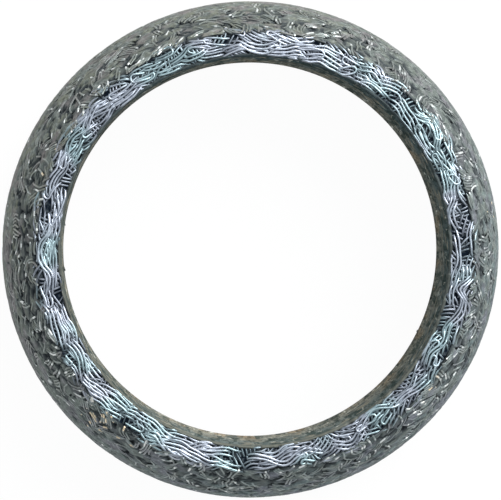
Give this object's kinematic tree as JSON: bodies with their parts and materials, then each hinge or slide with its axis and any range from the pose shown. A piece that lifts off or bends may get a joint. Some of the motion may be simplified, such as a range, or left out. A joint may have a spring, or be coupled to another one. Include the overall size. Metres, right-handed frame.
{
  "type": "exhaust gasket",
  "caption": "Pressed wire mesh and graphite ring with a plain bore, a flat wide back face, a ball-shaped outer seat and a narrow end face of bare pressed wires.",
  "frame": {"origin": "centre of the bore, on the wide flat back face", "axes": "+Z along the bore axis, from the wide back face to the narrow end face; X and Y lie in the back face"},
  "size_m": [0.0676, 0.0676, 0.019],
  "materials": {
    "wire_mesh_graphite": "pressed steel wire mesh filled and smeared with grey graphite, with bare bright wires on the narrow end face"
  },
  "bodies": {
    "root": {"gasket_ring": "wire_mesh_graphite"}
  },
  "joints": []
}
